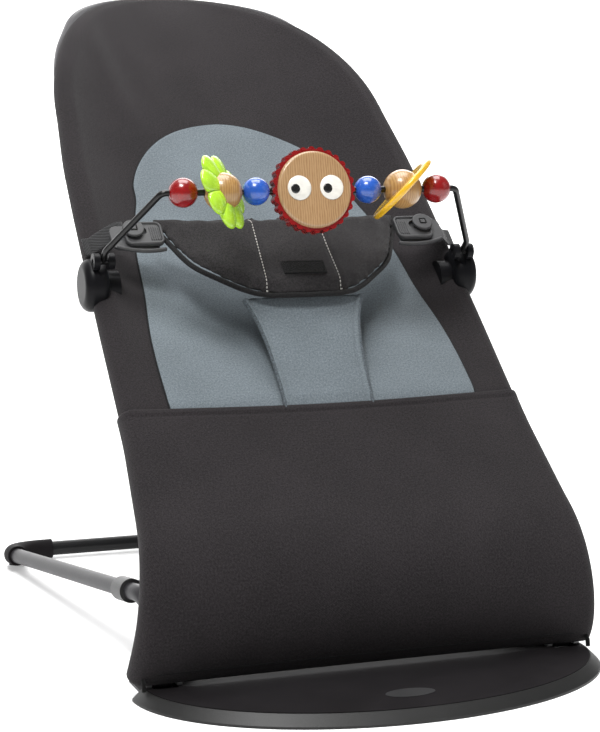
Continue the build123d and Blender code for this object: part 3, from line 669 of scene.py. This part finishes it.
def insert_half_width(v):
    """Half-width of the grey insert: nearly straight sides, drawing in, then a round arch."""
    stations = [100, 150, 170, 190, 210, 230, 250, 300, 330, 360, 380, 400]
    widths = [135, 134.5, 134, 133, 131, 128, 125, 121, 116, 108, 102, 95]
    body = eased(v, stations, widths, 24)
    arch = 106 * np.sqrt(np.clip(1 - np.clip((v - 366) / (INSERT_TOP - 366), 0, 1) ** 1.9, 0, 1))
    mix = np.clip((v - 366) / 34, 0, 1)
    mix = mix * mix * (3 - 2 * mix)
    return body * (1 - mix) + arch * mix


def insert_cloth_piece():
    """The grey insert: rows across the cloth between the two side lines, closed at the top of the arch,
    lying a little proud of the cover and rolled down at its edge."""
    rise = np.sin(np.linspace(0, math.pi / 2, 60))
    v = np.concatenate([np.linspace(109, 366, 70)[:-1], 366 + (INSERT_TOP - 366) * rise])
    u = np.sin(np.linspace(-math.pi / 2, math.pi / 2, 61))
    half = insert_half_width(v)
    x = u[None] * half[:, None]
    vv = np.broadcast_to(v[:, None], x.shape)
    edge = np.clip((1 - np.abs(u))[None] * half[:, None] / 4, 0, 1)
    puff = 0.9 + 1.3 * np.sqrt(edge)
    points = lift(x, vv, cloth_height(x, vv) + puff * np.clip((vv - 110) / 12, 0.15, 1))
    cloth_uv = np.stack([x, vv], -1) / 1000
    piece = make_piece("grey_insert", points, grid_faces(*x.shape), cloth_uv)
    return face_out(close_up(piece), SEAT_FACING)


insert_piece = dress(insert_cloth_piece(), insert_cloth)
surface_size(insert_piece)
thicken(insert_piece, 0.0005)
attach(insert_piece, "seat")
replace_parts(insert_piece, "seat_sling")

seam_rise = np.sin(np.linspace(0, math.pi / 2, 70))
seam_v = np.concatenate([np.linspace(111, 366, 90)[:-1], 366 + (INSERT_TOP - 366) * seam_rise])
seam_x = insert_half_width(seam_v)
over_cloth("insert_seam", np.concatenate([-seam_x, seam_x[-2::-1]]), np.concatenate([seam_v, seam_v[-2::-1]]),
           0.5, 0.0009, seam_thread)


# ------------------------------------------------------------------- crotch strap

def strap_lines(s):
    """Half-width and height of the strap between the legs."""
    half = eased(s, [100, 130, 150, 170, 190, 205, 214], [38.5, 39, 40, 42, 45.5, 50.5, 55], 10)
    height_stations = [100, 108, 116, 130, 150, 170, 190, 205, 214]
    height = eased(s, height_stations, [12.6, 12.6, 15, 17.5, 20.5, 24, 27.5, 30, 31.5], 8)
    return half, height


def strap_piece():
    """A flat padded strap: each section is a closed loop, crowned in the middle, thick along a sewn edge
    with a groove inside it, carried up the strap's line."""
    s = np.linspace(107.5, 212, 56)
    thin = np.clip((s - 106) / 12, 0.35, 1)[:, None]
    half, height = strap_lines(s)
    u = np.concatenate([np.linspace(-1, 1, 61), np.linspace(1, -1, 61)[1:-1]])
    top = np.arange(len(u)) < 61
    from_edge = (1 - np.abs(u))[None] * half[:, None]
    crown = 1.6 + 0.9 * (1 - u[None] ** 2)
    bead = 0.7 * np.exp(-((from_edge - 2.2) / 1.6) ** 2) - 1.1 * np.exp(-((from_edge - 5.0) / 0.9) ** 2)
    close = np.sqrt(np.clip(from_edge / 1.6, 0, 1))
    upper = (crown + bead) * close * thin
    n = height[:, None] + np.where(top[None], upper, -1.6 * close * thin)
    x = u[None] * half[:, None]
    points = lift(x, np.broadcast_to(s[:, None], x.shape), n)
    cloth_uv = np.stack([x, np.broadcast_to(s[:, None], x.shape)], -1) / 1000
    faces = grid_faces(len(s), len(u), round_rows=True)
    ends = [np.arange(len(u))[::-1], np.arange(len(u)) + (len(s) - 1) * len(u)]
    mesh = bpy.data.meshes.new("crotch_strap_cloth")
    mesh.from_pydata(points.reshape(-1, 3).tolist(), [], faces.tolist() + [e.tolist() for e in ends])
    layer = mesh.uv_layers.new(name="cloth")
    corner = np.empty(len(mesh.loops), np.int32)
    mesh.loops.foreach_get("vertex_index", corner)
    layer.data.foreach_set("uv", cloth_uv.reshape(-1, 2)[corner].astype(np.float32).ravel())
    mesh.polygons.foreach_set("use_smooth", np.full(len(mesh.polygons), True))
    piece = bpy.data.objects.new("crotch_strap_cloth", mesh)
    bpy.context.scene.collection.objects.link(piece)
    return close_up(piece, 0.000005)


strap = dress(strap_piece(), insert_cloth)
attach(strap, "seat")
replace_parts(strap, "crotch_strap")
strap_s = np.linspace(107.5, 211, 60)
strap_half, strap_height = strap_lines(strap_s)
for side, word in ((-1, "left"), (1, "right")):
    path = lift(side * (strap_half - 0.4), strap_s, strap_height + 0.4)
    edge_cord = dress(cord_piece("strap_piping_" + word, path, 0.0017, 10), strap_edge_cloth)
    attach(edge_cord, "seat")


# ------------------------------------------------------------------------- restraint

BIB_HALF = 113.0


def bib_low(x):
    """The lower edge: level in the middle, then a reverse curve up to the buckle at each side."""
    stations = [0, 30, 45, 57, 68, 80, 89, 94, 98, 102, 106, 110, 113, 130]
    heights = [206, 207.5, 212, 220, 230, 241, 251, 260, 270, 280, 290, 300, 308, 340]
    return eased(np.abs(x), stations, heights, 7)


def bib_high(x):
    """The gathered top edge: a shallow wave that rises to the corners behind the buckles."""
    wave = 1.5 * np.sin(x / 11.0) + 1.1 * np.sin(x / 5.2 + 1)
    return 297 + 17 * (np.abs(x) / BIB_HALF) ** 3 + wave * (1 - (x / BIB_HALF) ** 4)


def bib_rise(x, s):
    """Height of the pad's middle layer, bowed across the seat."""
    return 26.5 + 16.5 * (1 - np.minimum(1, np.abs(x) / BIB_HALF) ** 2) + 0.02 * (s - 250)


def bib_block():
    """The pad before it is filled: a thin closed form, front and back layers meeting all round."""
    u = np.linspace(-1, 1, 60)
    k = np.linspace(0, 1, 26)
    x = BIB_HALF * u[None]
    s = bib_low(x) + k[:, None] * (bib_high(x) - bib_low(x))
    x = np.broadcast_to(x, s.shape)
    body = 2.4 * (1 - np.abs(u[None]) ** 10) * (1 - np.abs(2 * k[:, None] - 1) ** 8) + 0.9
    front = lift(x, s, bib_rise(x, s) + body)
    back = lift(x, s, bib_rise(x, s) - body)
    both = np.concatenate([front.reshape(-1, 3), back.reshape(-1, 3)])
    return close_up(make_piece("restraint_pad", both, slab_faces(*s.shape)), 0.00001)


def coordinates(piece):
    co = np.empty(len(piece.data.vertices) * 3)
    piece.data.vertices.foreach_get("co", co)
    return co.reshape(-1, 3)


def set_coordinates(piece, co):
    piece.data.vertices.foreach_set("co", np.asarray(co, np.float32).ravel())
    piece.data.update()


def flat_place(points):
    """x, s and n of points near the straight part of the seat, in millimetres."""
    p = points * 1000
    y0, z0, _, _ = side_line(0.0)
    dy, dz = p[:, 1] - y0, p[:, 2] - z0
    s = dy * math.cos(SLOPE) + dz * math.sin(SLOPE)
    n = -dy * math.sin(SLOPE) + dz * math.cos(SLOPE)
    return p[:, 0], s, n


def apply_modifiers(piece):
    graph = bpy.context.evaluated_depsgraph_get()
    done = bpy.data.meshes.new_from_object(piece.evaluated_get(graph))
    piece.modifiers.clear()
    old = piece.data
    piece.data = done
    bpy.data.meshes.remove(old)
    return piece


def fill_pad(piece, voxel, cap, pressure=4.0):
    """Fills a pad: an even remesh, then cloth with air pressure and no gravity for 20 frames. Only the
    movement square to the seat is kept, held to the cap, so that the edge stays on its piping."""
    even = piece.modifiers.new("even", "REMESH")
    even.mode, even.voxel_size, even.use_smooth_shade = "VOXEL", voxel, True
    apply_modifiers(piece)
    before = coordinates(piece)
    cloth = piece.modifiers.new("fill", "CLOTH")
    cloth.settings.use_pressure = True
    cloth.settings.uniform_pressure_force = pressure
    cloth.settings.effector_weights.gravity = 0
    cloth.settings.quality = 6
    for number in range(1, 21):
        bpy.context.scene.frame_set(number)
    apply_modifiers(piece)
    bpy.context.scene.frame_set(1)
    moved = coordinates(piece) - before
    _, _, ny, nz = side_line(250.0)
    facing = np.array([0, float(ny), float(nz)])
    moved = (moved @ facing)[:, None] * facing
    far = np.linalg.norm(moved, axis=1, keepdims=True)
    set_coordinates(piece, before + moved * np.minimum(1, cap / np.maximum(far, 1e-9)))
    finer = piece.modifiers.new("finer", "SUBSURF")
    finer.levels = finer.render_levels = 1
    return apply_modifiers(piece)


STITCH_X = 31.5


def quilt(piece):
    """Sinks the two sewn lines and the gathers along the top edge into the filled pad."""
    co = coordinates(piece)
    x, s, n = flat_place(co)
    middle = bib_rise(x, s)
    outward = np.sign(n - middle)
    sewn = STITCH_X - 1.5 * np.sign(x) - 4 * (s - 250) / 90
    depth = 1.5 * np.exp(-((np.abs(x) - sewn) / 2.2) ** 2) * (s > 206)
    gather = 0.7 * np.sin(x / 3.1 + 0.6 * np.sin(x / 17)) * np.exp(-((s - 294) / 9) ** 2)
    puff = 0.5 * np.sin(x / 13 + s / 21) * np.sin(s / 15)
    move = outward * (gather + puff - depth)
    _, _, ny, nz = side_line(250.0)
    co[:, 1] += move * float(ny) / 1000
    co[:, 2] += move * float(nz) / 1000
    set_coordinates(piece, co)
    return piece


bib = quilt(fill_pad(bib_block(), 0.0038, 0.005))
bib.data.polygons.foreach_set("use_smooth", np.full(len(bib.data.polygons), True))
dress(bib, bib_cloth)
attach(bib, "seat")
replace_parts(bib, "restraint_bib")

bib_tree = BVHTree.FromObject(bib, bpy.context.evaluated_depsgraph_get())


def on_bib(x, s, clear):
    """Points on the filled pad's face, straight in from the front, then out again by the clearance."""
    _, _, ny, nz = side_line(250.0)
    way = Vector((0, float(ny), float(nz)))
    starts = lift(np.asarray(x, float), np.asarray(s, float), 80.0)
    hits = [bib_tree.ray_cast(Vector(p), -way)[0] for p in starts]
    fallback = lift(np.asarray(x, float), np.asarray(s, float), bib_rise(np.asarray(x), np.asarray(s)) + 4)
    landed = np.array([h if h is not None else f for h, f in zip(hits, fallback)])
    return landed + np.array(way) * clear / 1000


for side, word in ((-1, "left"), (1, "right")):
    line_s = np.linspace(209, 293, 50)
    line_x = side * (STITCH_X - 1.5 * side - 4 * (line_s - 250) / 90)
    row = stitches("white_stitches_" + word, on_bib(line_x, line_s, 0.25), 0.0033, 0.0024, 0.00055)
    dress(row, white_thread)
    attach(row, "seat")


rim_x = BIB_HALF * np.sin(np.linspace(math.pi / 2, -math.pi / 2, 120))[1:-1]
rim_s = bib_low(rim_x)
rim_path = lift(rim_x, rim_s - 0.6, bib_rise(rim_x, rim_s))
bib_cord = dress(cord_piece("restraint_piping", rim_path, 0.0023, 12), piping_cloth)
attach(bib_cord, "seat")


def tag_piece():
    """The blank woven tag: a thin closed slab that follows the pad, with a raised selvedge."""
    u, k = np.meshgrid(np.linspace(-1, 1, 33), np.linspace(-1, 1, 13), indexing="xy")
    x, s = 1.0 + 19 * u, 229 + 6.5 * k
    hit = on_bib(x.ravel(), s.ravel(), 0).reshape(*x.shape, 3)
    _, _, n_hit = flat_place(hit.reshape(-1, 3))
    level = np.poly1d(np.polyfit(x.ravel(), n_hit, 2))(x)
    selvedge = 0.25 * (np.maximum(np.abs(u), np.abs(k)) > 0.9)
    front = lift(x, s, level + 1.3 + selvedge)
    back = lift(x, s, level - 0.6)
    points = np.concatenate([front.reshape(-1, 3), back.reshape(-1, 3)])
    return close_up(make_piece("blank_tag", points, slab_faces(*x.shape), smooth=False))


tag = dress(tag_piece(), label_cloth)
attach(tag, "seat")
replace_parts(tag, "blank_label")


# ------------------------------------------------------------------- shoulder webbing

def ribbon(name, x, s, n, width, thickness):
    """A flat strap: a rounded thin section of the given width carried along a line in the seat's frame."""
    a = np.arange(24) * 2 * math.pi / 24
    wide = np.sign(np.cos(a)) * np.abs(np.cos(a)) ** 0.35 * width / 2
    tall = np.sign(np.sin(a)) * np.abs(np.sin(a)) ** 0.6 * thickness / 2
    grid_s = s[:, None] + wide[None]
    bend = np.gradient(n, x)
    drop = 1 / np.sqrt(1 + bend ** 2)
    grid_n = n[:, None] + tall[None] * drop[:, None]
    grid_x = x[:, None] - tall[None] * (bend * drop)[:, None]
    points = lift(grid_x, grid_s, grid_n)
    first, last = points[:1].mean(1, keepdims=True), points[-1:].mean(1, keepdims=True)
    points = np.concatenate([np.broadcast_to(first, (1, 24, 3)), points, np.broadcast_to(last, (1, 24, 3))])
    cloth_uv = np.stack([np.broadcast_to(np.concatenate([x[:1], x, x[-1:]])[:, None], points.shape[:2]),
                         np.broadcast_to(wide[None], points.shape[:2])], -1) / 1000
    faces = grid_faces(len(points), 24, round_rows=True)
    return close_up(make_piece(name, points, faces, cloth_uv), 0.000001)


for side, word in ((-1, "left"), (1, "right")):
    x = np.linspace(139, 171, 24)
    lift_n = 31.5 - 19 * np.clip((x - 143) / 22, 0, 1) ** 1.3 - 1.0 * np.clip((x - 163) / 8, 0, 1) ** 2
    strap_web = ribbon("shoulder_web_" + word, side * x, np.full(24, 296.0), lift_n, 20, 1.8)
    dress(strap_web, black_webbing)
    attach(strap_web, "seat")
    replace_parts(strap_web, "web_strap_" + word)


# The buckles' sizes in the seat's plane: the tab's middle, half sizes and corner, then the button.
TAB_X, TAB_S, TAB_HALF_X, TAB_HALF_S, TAB_CORNER, TAB_TOP = 124.0, 288.0, 17.0, 13.0, 6.0, 35.8
BUTTON_X, BUTTON_S, BUTTON_TOP = 133.0, 291.0, 40.2


def rounded_ring(half_x, half_s, corner, count=24):
    """Points round a rectangle with quarter-circle corners."""
    a = np.linspace(0, math.pi / 2, count)
    x, s = [], []
    for k, (cx, cs) in enumerate(((1, 1), (-1, 1), (-1, -1), (1, -1))):
        turned = a + k * math.pi / 2
        x.append(cx * (half_x - corner) + corner * np.cos(turned))
        s.append(cs * (half_s - corner) + corner * np.sin(turned))
    return np.concatenate(x), np.concatenate(s)


def buckle_trim(side, word):
    """The raised border, grip ribs and lower lip of one buckle tab, and the dark mark on its button."""
    ring_x, ring_s = rounded_ring(TAB_HALF_X - 1.3, TAB_HALF_S - 1.3, TAB_CORNER - 1.3)
    border = lift(side * (TAB_X + ring_x), TAB_S + ring_s, TAB_TOP + 0.0 * ring_x)
    made = [cord_piece("buckle_border_" + word, border, 0.0013, 10, closed=True)]
    for k in range(5):
        run = np.linspace(-8.5, 7.0, 12)
        rib = lift(side * np.full(12, TAB_X - 13.6 + 1.9 * k), TAB_S + run, TAB_TOP + 0.0 * run)
        made.append(cord_piece("buckle_rib_%s_%d" % (word, k), rib, 0.00062, 8))
    u = np.linspace(-1, 1, 36)
    lip_s = TAB_S - TAB_HALF_S - 1.0 - 3.2 * (1 - u ** 2) + 2.0 * u
    lip = lift(side * (TAB_X + 4 + 21 * u), lip_s, 32.5 + 0.0 * u)
    made.append(cord_piece("buckle_lip_" + word, lip, 0.0019, 10))
    for piece in made:
        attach(dress(piece, buckle_plastic), "tab_" + word)
    mark_x, mark_s = rounded_ring(2.6, 2.6, 0.6, 6)
    mark = lift(side * BUTTON_X + mark_x, BUTTON_S + mark_s, BUTTON_TOP + 0.05 + 0.0 * mark_x)
    square = dress(cord_piece("button_mark_" + word, mark, 0.0007, 8, closed=True), label_cloth)
    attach(square, "seat")


for side, word in ((-1, "left"), (1, "right")):
    buckle_trim(side, word)


# -------------------------------------------------------------------------- toys

def box_centre(node_name):
    low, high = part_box(node_name)
    return np.array((low + high) / 2)


def petals_piece():
    """Puffed petals: the rim's radius is 24.5 mm plus a rounded lobe eight times round, up to 9.5 mm,
    and the thickness is a rounded dome over it, on a disc leaned from square to the bar."""
    centre = box_centre("flower_ball")
    a = np.linspace(0, 2 * math.pi, 192, endpoint=False)
    lobe = np.abs(np.cos(4 * a)) ** 0.42
    reach = 0.0245 + 0.0095 * lobe
    w = np.sin(np.linspace(-math.pi / 2, math.pi / 2, 33))
    ring = 0.011 + (reach[None] - 0.011) * np.sqrt(np.clip(1 - w[:, None] ** 2, 0, 1))
    puff = 0.0050 * w[:, None] * (0.75 + 0.35 * lobe[None])
    normal = np.array([0.705, -0.586, 0.399])
    up = np.cross(normal, [1.0, 0, 0])
    up /= np.linalg.norm(up)
    side = np.cross(up, normal)
    points = centre + ring[..., None] * (np.cos(a)[None, :, None] * side + np.sin(a)[None, :, None] * up) \
        + puff[..., None] * normal
    inner_low = np.broadcast_to(points[:1], (1, 192, 3))
    points = np.concatenate([points, inner_low])
    faces = grid_faces(len(points), 192, round_rows=True)
    return close_up(make_piece("lime_flower", points, faces), 0.000001)


petals = dress(petals_piece(), lime_lacquer)
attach(petals, "flower_toy")
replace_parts(petals, "flower_petals")


def domes(name, centres, radius, height, depth, normal):
    """Low painted domes: radius r sin a, height h cos a over a short straight wall, closed behind."""
    across = np.array([1.0, 0, 0])
    up = np.cross(normal, across)
    a = np.linspace(0, math.pi / 2, 14)
    ring = np.concatenate([radius * np.sin(a), [radius, 0]])
    rise = np.concatenate([height * np.cos(a), [-depth, -depth]])
    b = np.arange(56) * 2 * math.pi / 56
    points = ring[:, None, None] * (np.cos(b)[None, :, None] * across + np.sin(b)[None, :, None] * up) \
        + rise[:, None, None] * normal
    faces = grid_faces(len(ring), 56, round_rows=True)
    every = np.concatenate([(points + centre).reshape(-1, 3) for centre in centres])
    each = np.concatenate([faces + k * len(ring) * 56 for k in range(len(centres))])
    return close_up(make_piece(name, every, each), 0.000001)


FACE_TILT = math.radians(12)
FACE_HALF_DEPTH = 0.008
face_normal = np.array([0, -math.cos(FACE_TILT), math.sin(FACE_TILT)])
face_up = np.array([0, math.sin(FACE_TILT), math.cos(FACE_TILT)])
face_front = box_centre("face_disc") + face_normal * FACE_HALF_DEPTH + face_up * 0.0012
eye_places = [face_front + [x, 0, 0] for x in (-0.0140, 0.0144)]
pupil_places = [face_front + [x, 0, 0] + face_normal * 0.0013 - face_up * 0.0008 for x in (-0.0178, 0.0106)]
eyes = dress(domes("white_eyes", eye_places, 0.0103, 0.0018, 0.0012, face_normal), white_lacquer)
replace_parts(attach(eyes, "face_toy"), "face_eyes")
pupils = dress(domes("black_pupils", pupil_places, 0.0041, 0.0010, 0.0022, face_normal), black_lacquer)
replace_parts(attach(pupils, "face_toy"), "face_pupils")


# ------------------------------------------------------------- floor, light, camera

def backdrop():
    """Pale floor that curves up far behind into a wall: a quarter circle between two straight runs."""
    bend = np.linspace(0, math.pi / 2, 40)
    y = np.concatenate([[-6.0], 4.0 + 2.5 * np.sin(bend), [6.5]])
    z = np.concatenate([[0.0], 2.5 - 2.5 * np.cos(bend), [9.0]])
    x = np.linspace(-9, 9, 3)
    points = np.stack([np.broadcast_to(x[None], (len(y), 3)), np.broadcast_to(y[:, None], (len(y), 3)),
                       np.broadcast_to(z[:, None], (len(y), 3))], -1)
    stage = face_out(make_piece("pale_floor", points, grid_faces(len(y), 3)), (0, -1, 1))
    paint = Finish("pale_floor_paint", 0.9, specular=0.2)
    speck = paint.noise(paint.place(), 3.0, 2.0)
    paint.shader.inputs["Emission Color"].default_value = (1, 1, 1, 1)
    paint.shader.inputs["Emission Strength"].default_value = 0.3
    paint.colour(paint.ramp(speck, [(0.3, (0.86, 0.86, 0.86)), (0.7, (0.89, 0.89, 0.89))]))
    return dress(stage, paint.material)


backdrop()


def soft_light(name, place, aim, width, height, power, colour=(1, 1, 1)):
    lamp = bpy.data.lights.new(name, "AREA")
    lamp.shape, lamp.size, lamp.size_y = "RECTANGLE", width, height
    lamp.energy, lamp.color = power, colour
    holder = bpy.data.objects.new(name, lamp)
    holder.location = place
    holder.rotation_euler = (Vector(aim) - Vector(place)).to_track_quat("-Z", "Y").to_euler()
    bpy.context.scene.collection.objects.link(holder)


soft_light("key", (-1.0, -0.9, 2.9), (0, 0.25, 0.3), 1.1, 0.9, 82)
soft_light("fill", (2.3, -1.2, 1.5), (0, 0.25, 0.25), 1.4, 1.6, 4)
soft_light("top", (0.1, 0.7, 2.8), (0, 0.35, 0), 2.0, 1.7, 72)
soft_light("rear", (0.9, 2.4, 1.5), (0, 0.4, 0.3), 1.6, 1.2, 20)
soft_light("wall", (0, 3.2, 2.2), (0, 6.5, 2.0), 6.0, 3.0, 300)

world = bpy.data.worlds.new("studio")
world.use_nodes = True
world.node_tree.nodes["Background"].inputs["Color"].default_value = (1, 1, 1, 1)
world.node_tree.nodes["Background"].inputs["Strength"].default_value = 0.2
bpy.context.scene.world = world
bpy.context.scene.view_settings.view_transform = "Standard"

lens = bpy.data.cameras.new("camera")
lens.sensor_fit, lens.sensor_width, lens.lens = "AUTO", 36.0, 98.36
lens.clip_start, lens.clip_end = 0.05, 50
camera = bpy.data.objects.new("camera", lens)
right, up, ahead = (0.93969, -0.34202, 0.0), (0.04575, 0.12570, 0.99101), (0.33895, 0.93125, -0.13376)
turn = Matrix((right, up, tuple(-c for c in ahead))).transposed()
camera.matrix_world = Matrix.Translation((-0.57934, -1.36966, 0.45675)) @ turn.to_4x4()
bpy.context.scene.collection.objects.link(camera)
bpy.context.scene.camera = camera
